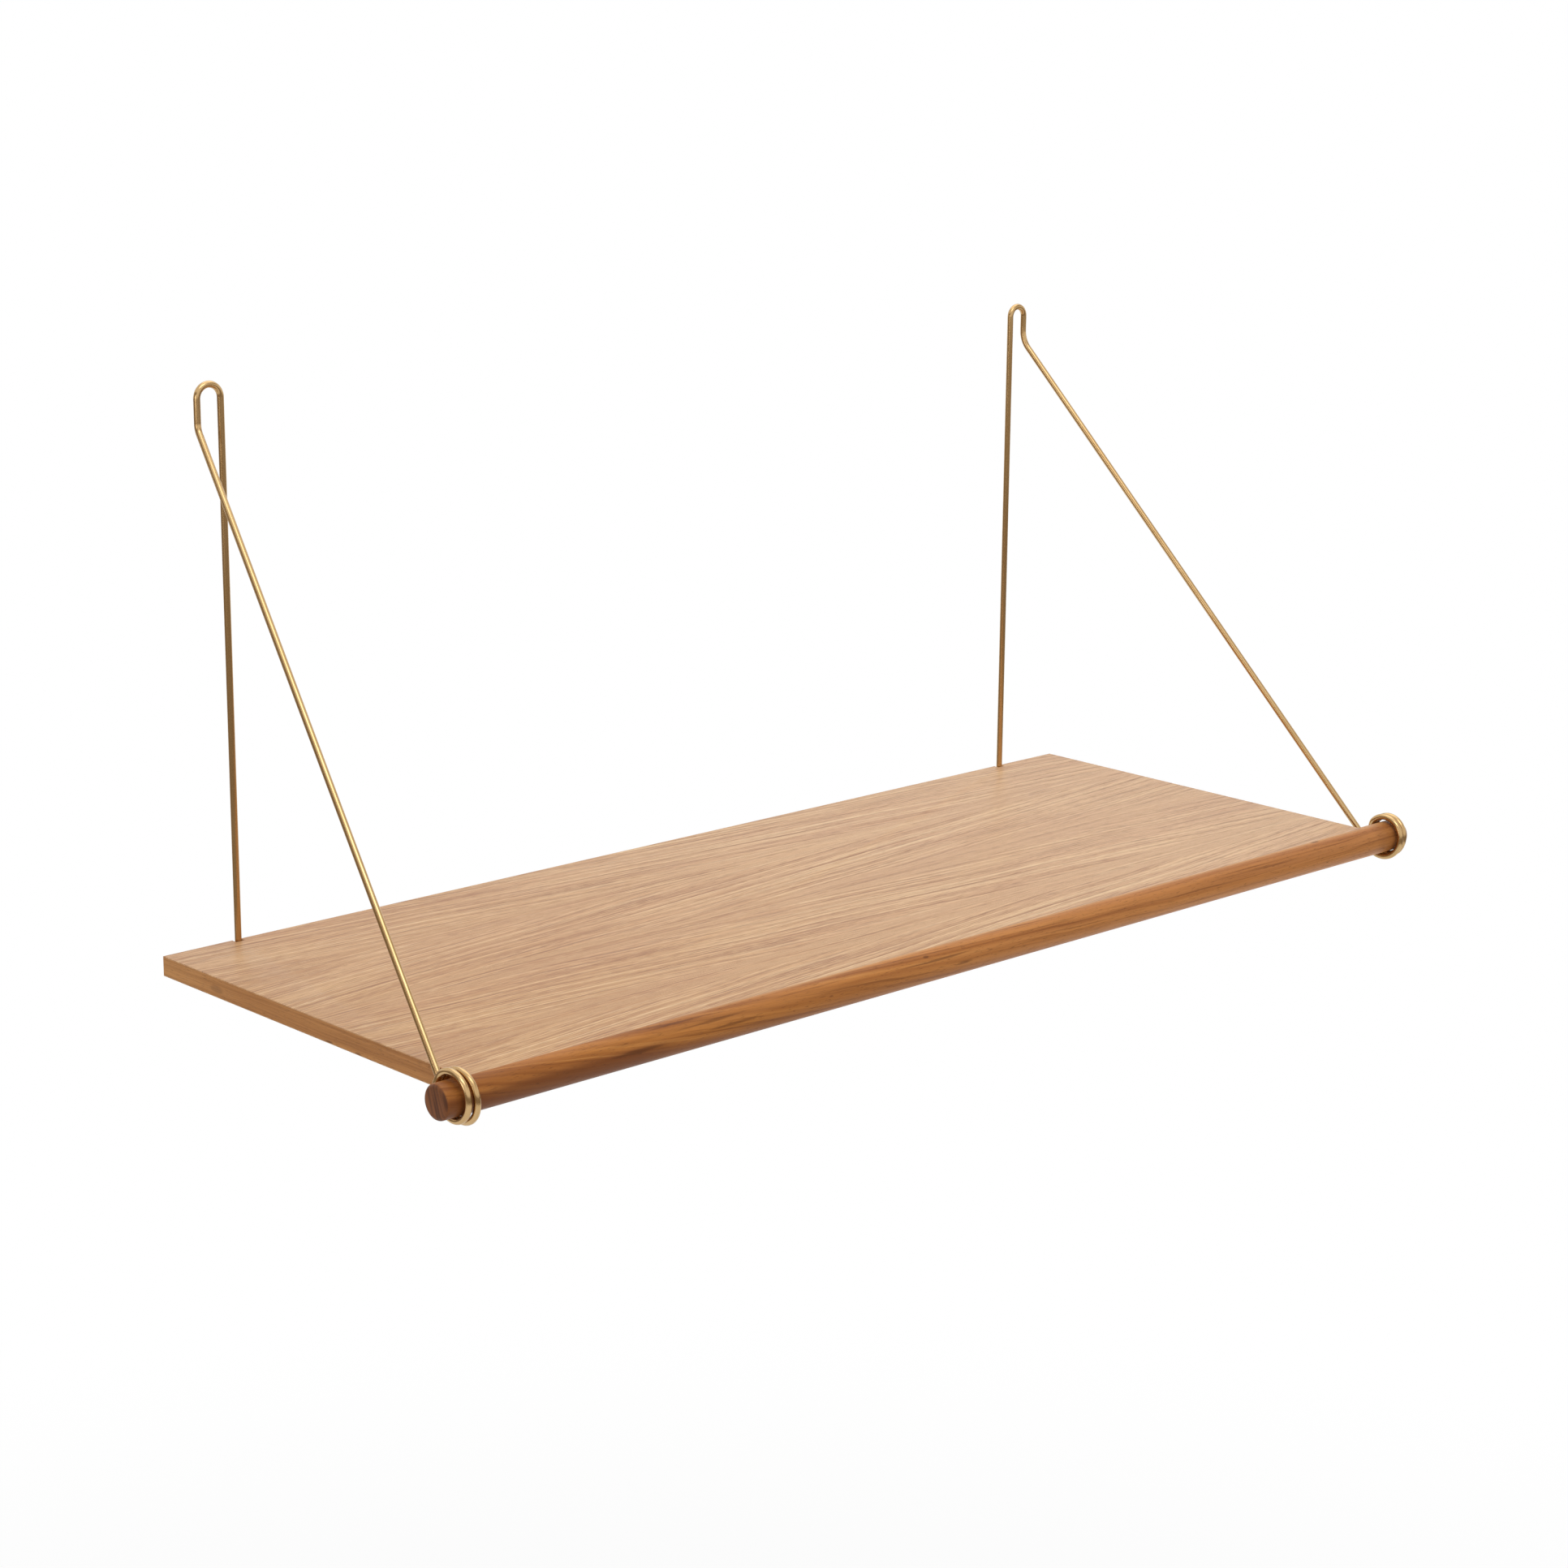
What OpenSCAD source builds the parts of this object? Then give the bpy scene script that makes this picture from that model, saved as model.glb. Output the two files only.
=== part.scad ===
// Wall shelf: a veneered board with a full-round front rail, hung from two bent brass wires.
// Millimetres. The origin is the middle of the board's back edge, on the wall.
// +X is to the right, +Y goes into the wall and +Z is up.

/* [Board] */
// Length of the board, without the ends of the rail
board_w = 750; // [500:10:1100]
// Depth of the board, from the wall to the middle of the rail
board_d = 280; // [180:5:340]
// Thickness of the board, with its veneers
board_t = 12; // [9:1:14]
// Thickness of the face veneers
veneer_t = 0.6; // [0.4:0.1:1.2]
// Thickness of the edge bands
band_t = 1; // [0.5:0.1:2]

/* [Front rail] */
// Diameter of the round rail
rail_d = 20; // [18:1:28]
// Length of rail that stands out past the left coil
left_tip = 4.6; // [1:0.2:20]
// Length of rail that stands out past the right coil
right_tip = 3; // [1:0.2:20]
// Rounding of the rail's ends
rail_round = 2.4; // [0.5:0.1:4]

/* [Wire brackets] */
// Diameter of the brass wire
wire_d = 4; // [3:0.5:5]
// From the board's left end to the left upright wire
left_inset = 50; // [35:1:120]
// From the board's right end to the right upright wire
right_inset = 55; // [35:1:120]
// Height of the hooks' tops above the board
hook_h = 327; // [220:2:420]
// Width of the left hook, from wire centre to wire centre
left_hook_w = 15.6; // [12:0.2:24]
// Width of the right hook, from wire centre to wire centre
right_hook_w = 13.2; // [12:0.2:24]
// Straight part of a hook, from its round top to the corner of the long arm
hook_leg = 17; // [8:1:50]
// How far along the wire the corner of the left long arm is rounded
left_arm_round = 3.5; // [2:0.5:8]
// How far along the wire the corner of the right long arm is rounded
right_arm_round = 7; // [2:0.5:8]
// Free gap between the board's left end and the left coil
left_coil_gap = 0.2; // [0.2:0.2:40]
// Free gap between the board's right end and the right coil
right_coil_gap = 23; // [0.2:0.2:40]
// Where behind the rail the left arm bends into its coil: 180 is level with its middle, 225 lower
left_join = 178; // [175:1:225]
// Where behind the rail the right arm bends into its coil
right_join = 220; // [175:1:225]
// How much further from the rail than its coil the left arm comes down
left_loose = 2.4; // [0:0.1:4]
// How much further from the rail than its coil the right arm comes down
right_loose = 0; // [0:0.1:4]
// How much further out than its coil the left arm comes down, or more if the board's end needs it
left_lean = 0; // [-2:0.1:3]
// How much further out than its coil the right arm comes down, or more if the board's end needs it
right_lean = -1.3; // [-2:0.1:3]
// Turns of wire round the rail
coil_turns = 2; // [1:1:4]
// Free gap between two turns of a coil
turn_gap = 0.5; // [0.3:0.1:2]
// Radial play between the left coil and the rail
left_play = 1.3; // [0.3:0.1:2]
// Radial play between the right coil and the rail
right_play = 0.7; // [0.3:0.1:2]
// How much looser than that a coil's first turn is
first_slack = 0.6; // [0:0.1:1.5]
// Inner radius of the bend below the board's back edge
foot_bend = 2; // [1:0.5:4]
// From the wall to the screw through the wire's foot
foot_l = 30; // [20:1:80]

/* [Fastenings] */
// Shank diameter of the bracket screws
screw_d = 3.5; // [3:0.5:4.5]
// Diameter of the screw heads
head_d = 7; // [6:0.5:9]
// Height of the screw heads
head_h = 2.4; // [2:0.1:3.5]
// Wood left between a screw's tip and the board's top
screw_cover = 3; // [2:0.5:5]
// Diameter of the washers
washer_d = 10; // [9:0.5:14]
// Thickness of the washers
washer_t = 0.8; // [0.5:0.1:1.5]
// Number of wooden pins between board and rail
pin_count = 5; // [2:1:9]
// Diameter of the wooden pins
pin_d = 5; // [4:0.5:6]
// How far a pin goes into the board
pin_l = 14; // [8:1:25]
// From the board's ends to the outermost pins
pin_inset = 60; // [20:5:150]
// Rail left in front of a pin's end
pin_cover = 2.4; // [2:0.2:4]

/* [Fits] */
// Free room on each side of a wire in its notch
notch_clear = 0.8; // [0.3:0.1:1.5]
// Free room in front of a wire in its notch
notch_gap = 0.3; // [0.2:0.1:1]
// Free room between the wire's foot bend and the board
bend_clear = 0.2; // [0.1:0.1:0.5]
// Free room at each end of the rail's rebate
seat_clear = 0.2; // [0.1:0.1:0.5]
// Free room round a screw in the wire's eye and the washer
eye_clear = 0.3; // [0.2:0.1:0.6]
// Free room at both ends of a pin and at a screw's tip
end_clear = 0.4; // [0.2:0.1:1]
// Free room between a long arm and the board's end
arm_clear = 0.3; // [0.1:0.1:1]

/* [Hidden] */

oak = [0.80, 0.60, 0.42];
oak_edge = [0.62, 0.40, 0.22];
oak_rail = [0.66, 0.40, 0.20];
panel = [0.72, 0.60, 0.45];
beech = [0.85, 0.70, 0.52];
brass = [0.78, 0.62, 0.34];
steel = [0.70, 0.70, 0.72];

over = 1;                  // how far a cutting solid runs past what it cuts
round_fn = 64;
wire_sides = 12;
wire_r = wire_d / 2;
board_top = board_t / 2;
board_bottom = -board_t / 2;
core_t = board_t - 2 * veneer_t;

// The wires' uprights stand against the wall, one on each side
wire_y = -wire_r;
leg_xs = [left_inset - board_w / 2, board_w / 2 - right_inset];
notch_w = wire_d + 2 * notch_clear;
notch_d = wire_d + notch_gap;
relief = (2 - sqrt(2)) * foot_bend + bend_clear;

// The rail's top is level with the board's top
rail_r = rail_d / 2;
rail_z = board_top - rail_r;
turn_pitch = wire_d + turn_gap;
join_bend = 4.5;
coil_l = coil_turns * turn_pitch + wire_d;
left_out = lean_out(left_lean, -leg_xs[0] + left_hook_w, left_coil_gap);
right_out = lean_out(right_lean, leg_xs[1] + right_hook_w, right_coil_gap);
rail_left = -board_w / 2 - left_coil_gap - coil_l - max(left_out, 0) - left_tip;
rail_right = board_w / 2 + right_coil_gap + coil_l + max(right_out, 0) + right_tip;

// The rail rests in its coils, on the bottom of every turn but the first, which is looser.
// Each turn lies flat round the rail and crosses over to the next one behind it, close to the
// wood there, so that it passes between the rail and the wire's first stretch.
rest_turn = 72;
coil_tilt = 0.05;
cross_angle = 130;
cross_span = 80;
end_angle = 170;
cross_gap = 0.2;
turn_step = 15;

// Screws and pins
eye_r = screw_d / 2 + eye_clear + wire_r;
foot_z = board_bottom - wire_r;
washer_z = board_bottom - wire_d - washer_t;
screw_in = board_t - screw_cover;
pin_in_rail = sqrt(pow(rail_r, 2) - pow(rail_z, 2)) - pin_cover;
pin_step = (board_w - 2 * pin_inset) / (pin_count - 1);
pin_xs = [for (i = [0 : pin_count - 1]) pin_inset - board_w / 2 + i * pin_step];

// ---- Points along a bent wire ----

// Points on an arc round c from a0 to a1 degrees, in the plane of the unit vectors u and v
function arc(c, u, v, r, a0, a1, n) =
    [for (i = [0 : n]) let (a = a0 + (a1 - a0) * i / n) c + r * (cos(a) * u + sin(a) * v)];

// Points that round the corner b between a and c
function corner(a, b, c, n) =
    [for (i = [0 : n]) let (s = i / n) pow(1 - s, 2) * a + 2 * s * (1 - s) * b + s * s * c];

function unit(v) = v / norm(v);

// How much further out than its coil an arm from arm_x comes down, at least enough to pass the board's end
function lean_out(lean, arm_x, coil_gap) =
    let (
        drop = board_top - rail_z - join_bend,
        share = drop / (hook_h + drop),
        end_x = board_w / 2 + arm_clear + wire_r
    )
    max(lean, (end_x - share * arm_x) / (1 - share) - board_w / 2 - coil_gap - wire_r);

// From 0 to 1, slowly at both ends
function eased(s) = let (u = min(max(s, 0), 1)) u * u * (3 - 2 * u);

// How much of its first cross-over a coil has done at the angle a
function crossed(a) = eased((a - 360 - cross_angle) / cross_span);

// A point at the angle a of a coil that starts at x, at the angle start, with that much play
// round the rail. The arm comes down further out than the coil by lean, and further from the
// rail by loose. Circles are widened to r * wide.
function coil_point(x, start, lean, loose, play, a, wide) =
    let (
        coil_r = rail_r + play + wire_r,
        first_r = coil_r + first_slack,
        coil_centre = [-board_d - play * cos(rest_turn), rail_z + play * sin(rest_turn)],
        first_centre = [-board_d - 0.4 * play, rail_z + 0.15 * play],
        turns = [for (n = [0 : coil_turns - 1]) crossed(a - 360 * n)],
        ones = [for (n = [0 : coil_turns - 1]) 1],
        done = turns[0],
        fresh = 1 - eased((a - start) / 90),
        dip = 4 * (play - cross_gap) * (turns * (ones - turns)),
        r = (first_r + (coil_r - first_r) * done + loose * fresh - dip) * wide,
        c = first_centre + (coil_centre - first_centre) * done,
        step = turn_pitch * (turns * ones) + max(lean, 0) * done,
        up = r * sin(a)
    )
    [x + step + lean * fresh + coil_tilt * up, c[0] - r * cos(a), c[1] + up];

// One bracket for the right-hand side: eye, foot, upright, hook, long arm and coil
function bracket_path(leg_x, hook_w, arm_round, coil_gap, start, lean, loose, play) =
    let (
        x = [1, 0, 0], y = [0, 1, 0], z = [0, 0, 1],
        bend_r = foot_bend + wire_r,
        hook_r = hook_w / 2,
        hook_z = board_top + hook_h - wire_r - hook_r,
        arm_top = [leg_x + hook_w, wire_y, hook_z - hook_leg],
        coil_x = board_w / 2 + coil_gap + wire_r,
        coil_start = coil_point(coil_x, start, lean, loose, play, start, 1),
        arm_foot = coil_start - join_bend * unit([coil_tilt * cos(start), sin(start), cos(start)]),
        arm = unit(arm_foot - arm_top),
        turned = 360 * coil_turns + end_angle - start,
        steps = ceil(turned / turn_step)
    )
    concat(
        arc([leg_x, -foot_l, foot_z], x, y, eye_r, 120, 440, 18),
        [[leg_x, -foot_l + 2 * eye_r, foot_z]],
        arc([leg_x, wire_y - bend_r, foot_z + bend_r], y, z, bend_r, -90, 0, 6),
        arc([leg_x + hook_r, wire_y, hook_z], x, z, hook_r, 180, 0, 14),
        corner(arm_top + arm_round * z, arm_top, arm_top + arm_round * arm, 5),
        corner(arm_foot - join_bend * arm, arm_foot, coil_start, 5),
        [for (i = [1 : steps])
            coil_point(coil_x, start, lean, loose, play, start + turned * i / steps,
                       1 / cos(turn_step / 2))]
    );

// ---- A round wire along points ----

// Direction of the path at point i
function heading(p, i) = unit(p[min(i + 1, len(p) - 1)] - p[max(i - 1, 0)]);

// A vector square to each heading, carried along so that the wire doesn't twist
function side_vectors(p) = [
    for (i = 0, h = heading(p, 0), s = unit(cross(h, [0.1, 0.2, 1]));
         i < len(p);
         i = i + 1, h = heading(p, i), s = unit(s - (s * h) * h)) s];

module wire(p) {
    n = wire_sides;
    last = len(p) - 1;
    side = side_vectors(p);
    rings = [for (i = [0 : last], j = [0 : n - 1])
        let (up = cross(heading(p, i), side[i]), a = 360 * j / n)
        p[i] + wire_r * (cos(a) * side[i] + sin(a) * up)];
    walls = [for (i = [0 : last - 1], j = [0 : n - 1])
        let (a = i * n + j, b = i * n + (j + 1) % n)
        each [[a, a + n, b + n], [a, b + n, b]]];
    ends = [[for (j = [0 : n - 1]) j], [for (j = [0 : n - 1]) last * n + n - 1 - j]];
    polyhedron(points = rings, faces = concat(walls, ends));
}

// ---- Cuts that several pieces share ----

module slab(x0, x1, y0, y1, z0, z1) {
    translate([x0, y0, z0]) cube([x1 - x0, y1 - y0, z1 - z0]);
}

// Notches in the back edge for the uprights, eased below where the wire bends forward
module notches() {
    front = -notch_d;
    for (x = leg_xs) {
        slab(x - notch_w / 2, x + notch_w / 2, front, over, board_bottom - over, board_top + over);
        translate([x - notch_w / 2, 0, 0])
            rotate([90, 0, 90])
                linear_extrude(notch_w)
                    polygon([[front - relief - over, board_bottom - over],
                             [front + over, board_bottom - over],
                             [front + over, board_bottom + relief + over]]);
    }
}

// Holes that the bracket screws bite into, from the board's underside
module screw_holes() {
    for (x = leg_xs)
        translate([x, -foot_l, board_bottom - over])
            cylinder(h = screw_in + end_clear + over, d = screw_d, $fn = round_fn);
}

// Holes for the wooden pins, through the joint between board and rail
module pin_holes() {
    for (x = pin_xs)
        translate([x, -board_d - pin_in_rail - end_clear, 0])
            rotate([-90, 0, 0])
                cylinder(h = pin_in_rail + pin_l + 2 * end_clear, d = pin_d, $fn = round_fn);
}

// ---- The pieces ----

module core_panel() {
    color(panel)
        difference() {
            slab(band_t - board_w / 2, board_w / 2 - band_t, -board_d, -band_t, -core_t / 2, core_t / 2);
            notches();
            screw_holes();
            pin_holes();
        }
}

module top_veneer() {
    color(oak)
        difference() {
            slab(-board_w / 2, board_w / 2, -board_d, 0, core_t / 2, board_top);
            notches();
        }
}

module bottom_veneer() {
    color(oak)
        difference() {
            slab(-board_w / 2, board_w / 2, -board_d, 0, board_bottom, -core_t / 2);
            notches();
            screw_holes();
        }
}

module left_end_band() {
    color(oak_edge)
        slab(-board_w / 2, band_t - board_w / 2, -board_d, 0, -core_t / 2, core_t / 2);
}

module right_end_band() {
    color(oak_edge)
        slab(board_w / 2 - band_t, board_w / 2, -board_d, 0, -core_t / 2, core_t / 2);
}

// One length of the back edge's band; the notches cut it into three
module back_band(x0, x1) {
    color(oak_edge) slab(x0, x1, -band_t, 0, -core_t / 2, core_t / 2);
}

module back_band_left() back_band(band_t - board_w / 2, leg_xs[0] - notch_w / 2);

module back_band_middle() back_band(leg_xs[0] + notch_w / 2, leg_xs[1] - notch_w / 2);

module back_band_right() back_band(leg_xs[1] + notch_w / 2, board_w / 2 - band_t);

// Round rail with eased ends, rebated so that the board lies in its upper back
module front_rail() {
    ease = min(rail_round, rail_r / 2);
    rail_l = rail_right - rail_left;
    outline = concat(
        [[0, 0]],
        [for (a = [0 : 22.5 : 90]) [rail_r - ease + ease * sin(a), ease - ease * cos(a)]],
        [for (a = [90 : -22.5 : 0]) [rail_r - ease + ease * sin(a), rail_l - ease + ease * cos(a)]],
        [[0, rail_l]]);
    color(oak_rail)
        difference() {
            translate([rail_left, -board_d, rail_z])
                rotate([0, 90, 0])
                    rotate_extrude($fn = round_fn)
                        polygon(outline);
            slab(-board_w / 2 - seat_clear, board_w / 2 + seat_clear,
                 -board_d, rail_r - board_d + over, board_bottom, board_top + over);
            pin_holes();
        }
}

module rail_pins() {
    color(beech)
        for (x = pin_xs)
            translate([x, -board_d - pin_in_rail, 0])
                rotate([-90, 0, 0])
                    cylinder(h = pin_in_rail + pin_l, d = pin_d, $fn = round_fn);
}

module left_bracket() {
    color(brass)
        mirror([1, 0, 0])
            wire(bracket_path(-leg_xs[0], left_hook_w, left_arm_round, left_coil_gap,
                              left_join, left_out, left_loose, left_play));
}

module right_bracket() {
    color(brass)
        wire(bracket_path(leg_xs[1], right_hook_w, right_arm_round, right_coil_gap,
                          right_join, right_out, right_loose, right_play));
}

module bracket_washers() {
    color(steel)
        for (x = leg_xs)
            translate([x, -foot_l, washer_z])
                difference() {
                    cylinder(h = washer_t, d = washer_d, $fn = round_fn);
                    translate([0, 0, -over])
                        cylinder(h = washer_t + 2 * over, d = screw_d + 2 * eye_clear, $fn = round_fn);
                }
}

// Pan-head screws, driven up into the board through washer and eye
module bracket_screws() {
    tip = screw_d / 2;
    shank_l = washer_t + wire_d + screw_in - tip;
    head_rim = head_h / 2;
    slot_l = head_d / 2;
    slot_w = head_d / 8;
    color(steel)
        for (x = leg_xs)
            translate([x, -foot_l, washer_z]) {
                difference() {
                    union() {
                        translate([0, 0, -head_rim]) cylinder(h = head_rim, d = head_d, $fn = round_fn);
                        translate([0, 0, -head_h])
                            cylinder(h = head_h - head_rim, d1 = head_d * 0.6, d2 = head_d, $fn = round_fn);
                        cylinder(h = shank_l, d = screw_d, $fn = round_fn);
                        translate([0, 0, shank_l])
                            cylinder(h = tip, d1 = screw_d, d2 = screw_d / 4, $fn = round_fn);
                    }
                    for (turn = [0, 90])
                        rotate(turn)
                            slab(-slot_l / 2, slot_l / 2, -slot_w / 2, slot_w / 2, -head_h - over, -head_rim);
                }
            }
}

core_panel();
top_veneer();
bottom_veneer();
left_end_band();
right_end_band();
back_band_left();
back_band_middle();
back_band_right();
front_rail();
rail_pins();
left_bracket();
right_bracket();
bracket_washers();
bracket_screws();
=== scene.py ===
# %% [markdown]
# # A wall shelf on two brass wires
# An oak board, 12 mm thick and full-round along its front, hangs from two bent brass wires.
# Its real shapes and sizes were drawn in CAD, and they come in here as a fixed frame.
# This lesson dresses that frame: it rebuilds what is seen at close range, makes the finishes,
# and sets up a plain studio round the shelf. All lengths are metres. +X runs to the shelf's
# right, +Y goes into the wall and +Z is up.

# %% The frame and the tools
from math import atan2, cos, pi, radians, sin

import bpy
import numpy as np
from mathutils import Matrix, Vector


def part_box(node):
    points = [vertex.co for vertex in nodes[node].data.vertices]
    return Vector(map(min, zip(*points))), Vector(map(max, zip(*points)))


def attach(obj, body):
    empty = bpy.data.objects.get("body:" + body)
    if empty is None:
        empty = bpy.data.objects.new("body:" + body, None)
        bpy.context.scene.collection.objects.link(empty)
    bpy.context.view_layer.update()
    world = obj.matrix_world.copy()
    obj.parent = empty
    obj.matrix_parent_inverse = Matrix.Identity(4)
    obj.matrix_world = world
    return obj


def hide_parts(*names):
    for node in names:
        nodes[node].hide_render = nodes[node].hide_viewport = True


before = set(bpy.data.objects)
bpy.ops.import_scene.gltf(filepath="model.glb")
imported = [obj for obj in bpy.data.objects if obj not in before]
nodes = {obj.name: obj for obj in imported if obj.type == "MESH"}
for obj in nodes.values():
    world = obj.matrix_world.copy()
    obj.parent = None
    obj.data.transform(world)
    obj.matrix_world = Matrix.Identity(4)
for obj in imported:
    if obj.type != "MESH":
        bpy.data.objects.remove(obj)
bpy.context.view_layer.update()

MM = 0.001

# %% [markdown]
# ## The sizes that drive the pieces
# A maker works from a few sizes and lets the rest follow. The board, the rail and the
# fastenings are measured off the frame's boxes, so that they follow the drawing. The wire's
# own sizes can't be read from a box, so they are given here.

# %% Sizes
board_low = Vector(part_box("bottom_veneer")[0])
board_high = Vector(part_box("top_veneer")[1])
veneer_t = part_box("top_veneer")[1].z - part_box("top_veneer")[0].z
rail_low, rail_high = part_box("front_rail")
rail_r = (rail_high.z - rail_low.z) / 2
rail_y = rail_low.y + rail_r
rail_z = rail_low.z + rail_r

wire_d = 4 * MM
wire_r = wire_d / 2
print("board", [round(s / MM, 2) for s in board_high - board_low], "mm; rail radius",
      round(rail_r / MM, 2), "mm; wire", round(wire_d / MM, 2), "mm")

# %% [markdown]
# ## Small helpers for modelling
# Blender's operators act on whatever is selected, and importing leaves the frame selected. So
# each piece starts by selecting nothing. In edit mode, edges and faces are then picked by
# where they lie, as an eye would pick them, and never by their number in the mesh.

# %% One piece at a time
def start_clean():
    """Leaves edit mode and selects nothing."""
    if bpy.context.object and bpy.context.object.mode != "OBJECT":
        bpy.ops.object.mode_set(mode="OBJECT")
    bpy.ops.object.select_all(action="DESELECT")


def settle(name):
    """Names the active object and puts its place, turn and size into its mesh."""
    piece = bpy.context.object
    piece.name = piece.data.name = name
    bpy.ops.object.transform_apply(location=True, rotation=True, scale=True)
    return piece


def only(piece):
    """Makes a piece the one selected, active object."""
    start_clean()
    piece.select_set(True)
    bpy.context.view_layer.objects.active = piece


# %% Picking by place
def near(a, b, room=0.01 * MM):
    """Whether two lengths are the same, within a hair."""
    return abs(a - b) < room


def pick(piece, kind, test):
    """Enters edit mode with the parts of a piece selected whose centre passes a test.

    The kind is vertices, edges or polygons, as Blender's mesh calls them.
    """
    select_as = {"vertices": "VERT", "edges": "EDGE", "polygons": "FACE"}
    only(piece)
    bpy.ops.object.mode_set(mode="EDIT")
    bpy.ops.mesh.select_mode(type=select_as[kind])
    bpy.ops.mesh.select_all(action="DESELECT")
    bpy.ops.object.mode_set(mode="OBJECT")
    mesh = piece.data
    for part in getattr(mesh, kind):
        if kind == "vertices":
            centre = part.co
        elif kind == "edges":
            start, end = [mesh.vertices[i].co for i in part.vertices]
            centre = (start + end) / 2
        else:
            centre = part.center
        part.select = bool(test(centre, part))
    bpy.ops.object.mode_set(mode="EDIT")


# %% Finishing a piece
def smooth(piece, degrees):
    """Shades a piece smooth, but for the edges that turn by more than so many degrees."""
    only(piece)
    bpy.ops.object.shade_smooth_by_angle(angle=radians(degrees))


def cut_away(piece, cutter):
    """Takes the cutter's shape out of a piece, and throws the cutter away."""
    only(piece)
    cut = piece.modifiers.new("cut", "BOOLEAN")
    cut.operation = "DIFFERENCE"
    cut.solver = "EXACT"
    cut.object = cutter
    bpy.ops.object.modifier_apply(modifier=cut.name)
    bpy.data.objects.remove(cutter)


def hand_over(piece, slot, *replaced):
    """Hides the frame's parts that a finished piece stands for and puts it under its body; the slot
    is not used.
    """
    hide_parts(*replaced)
    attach(piece, "root")
    places = [corner.co / MM for corner in piece.data.vertices]
    print(piece.name, "has", len(piece.data.polygons), "faces, from",
          [round(min(place[i] for place in places), 2) for i in range(3)], "to",
          [round(max(place[i] for place in places), 2) for i in range(3)], "mm")


print("helpers ready")

# %% [markdown]
# ## The board's two faces
# The faces are sheets of oak veneer, 0.6 mm thick, laid over the core and over the edge
# bands. Each back edge has two notches, where the wires pass. A maker breaks the sharp edges
# with a stroke of fine paper, and that tiny round is what catches the light along the board's
# outline. The sheet is drawn as a flat outline, cut by bisecting it where the notches' sides
# run, thickened by extruding it, and then its outer edges are bevelled. A Boolean would cut
# the notches too, but bisecting keeps the outline clean for the bevel. The middle length of
# the back band ends at the notches, so its box says where the two wires stand.

# %% Notches
notch_clear = 0.8 * MM  # beside the wire
notch_gap = 0.3 * MM  # in front of it
relief = 1.37 * MM  # how much deeper a notch is at the bottom, where the wire bends forward
eased_edge = 0.3 * MM

notch_half = wire_r + notch_clear
notch_depth = wire_d + notch_gap
between_low, between_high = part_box("back_band_middle")
leg_xs = [between_low.x - notch_half, between_high.x + notch_half]
print("wires at", [round(x / MM, 2) for x in leg_xs], "mm; notches", round(2 * notch_half / MM, 2),
      "mm wide")


# %% A veneered face
def veneer_sheet(name, node, outer_z, inner_z, depth_out, depth_in):
    """A face of the board; its notches are depth_out deep outside and depth_in inside."""
    low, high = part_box(node)
    middle = (low + high) / 2
    notch_y = high.y - depth_out
    start_clean()
    bpy.ops.mesh.primitive_plane_add(size=1, location=(middle.x, middle.y, outer_z))
    bpy.context.object.scale = (high.x - low.x, high.y - low.y, 1)
    sheet = settle(name)
    cuts = [((x + side * notch_half, 0, 0), (1, 0, 0)) for x in leg_xs for side in (-1, 1)]
    cuts.append(((0, notch_y, 0), (0, 1, 0)))
    for place, normal in cuts:
        pick(sheet, "polygons", lambda centre, part: True)
        bpy.ops.mesh.bisect(plane_co=place, plane_no=normal)
    pick(sheet, "polygons", lambda centre, part: centre.y > notch_y
         and min(abs(centre.x - x) for x in leg_xs) < notch_half)
    bpy.ops.mesh.delete(type="FACE")
    bpy.ops.mesh.select_all(action="SELECT")
    bpy.ops.mesh.dissolve_limited(angle_limit=radians(1))
    bpy.ops.mesh.extrude_region_move(TRANSFORM_OT_translate={"value": (0, 0, inner_z - outer_z)})
    pick(sheet, "vertices", lambda co, part: near(co.z, inner_z) and near(co.y, notch_y))
    bpy.ops.transform.translate(value=(0, depth_out - depth_in, 0))
    bpy.ops.mesh.select_all(action="SELECT")
    bpy.ops.mesh.normals_make_consistent(inside=False)
    pick(sheet, "edges", lambda centre, part: near(centre.z, outer_z) and centre.y > low.y + MM)
    bpy.ops.mesh.bevel(offset=eased_edge, segments=3, profile=0.5, affect="EDGES",
                       clamp_overlap=True)
    smooth(sheet, 40)
    return sheet


inner_top = board_high.z - veneer_t
inner_bottom = board_low.z + veneer_t
top_face = veneer_sheet("top_face", "top_veneer", board_high.z, inner_top, notch_depth, notch_depth)
bottom_face = veneer_sheet("bottom_face", "bottom_veneer", board_low.z, inner_bottom,
                           notch_depth + relief, notch_depth + relief - veneer_t)

# %% Screw holes in the lower face
screw_d = 3.5 * MM
hole_sides = 48
washer_low, washer_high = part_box("bracket_washers")
foot_y = (washer_low.y + washer_high.y) / 2
washer_r = (washer_high.y - washer_low.y) / 2

for x in leg_xs:
    start_clean()
    bpy.ops.mesh.primitive_cylinder_add(vertices=hole_sides, radius=screw_d / 2,
                                        depth=4 * veneer_t, location=(x, foot_y, board_low.z))
    cut_away(bottom_face, settle("drill"))

hand_over(top_face, "oak_face", "top_veneer")
hand_over(bottom_face, "oak_face", "bottom_veneer")

# %% [markdown]
# ## The front rail
# The rail is a solid oak rod. Its upper back is rebated, so that the board lies in it and its
# top runs level into the board's. Past the board's ends the rod stays fully round, and its
# ends are turned with a soft rim. It could be a curve with a round bevel, as the wires are,
# but a cylinder gives flat ends and sharp rims that can be bevelled. A box is then cut out of
# it where the board lies.

# %% Rail
rail_sides = 96
rail_rim = 2.4 * MM
seat_clear = 0.2 * MM
rail_middle = ((rail_low.x + rail_high.x) / 2, rail_y, rail_z)

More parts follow.
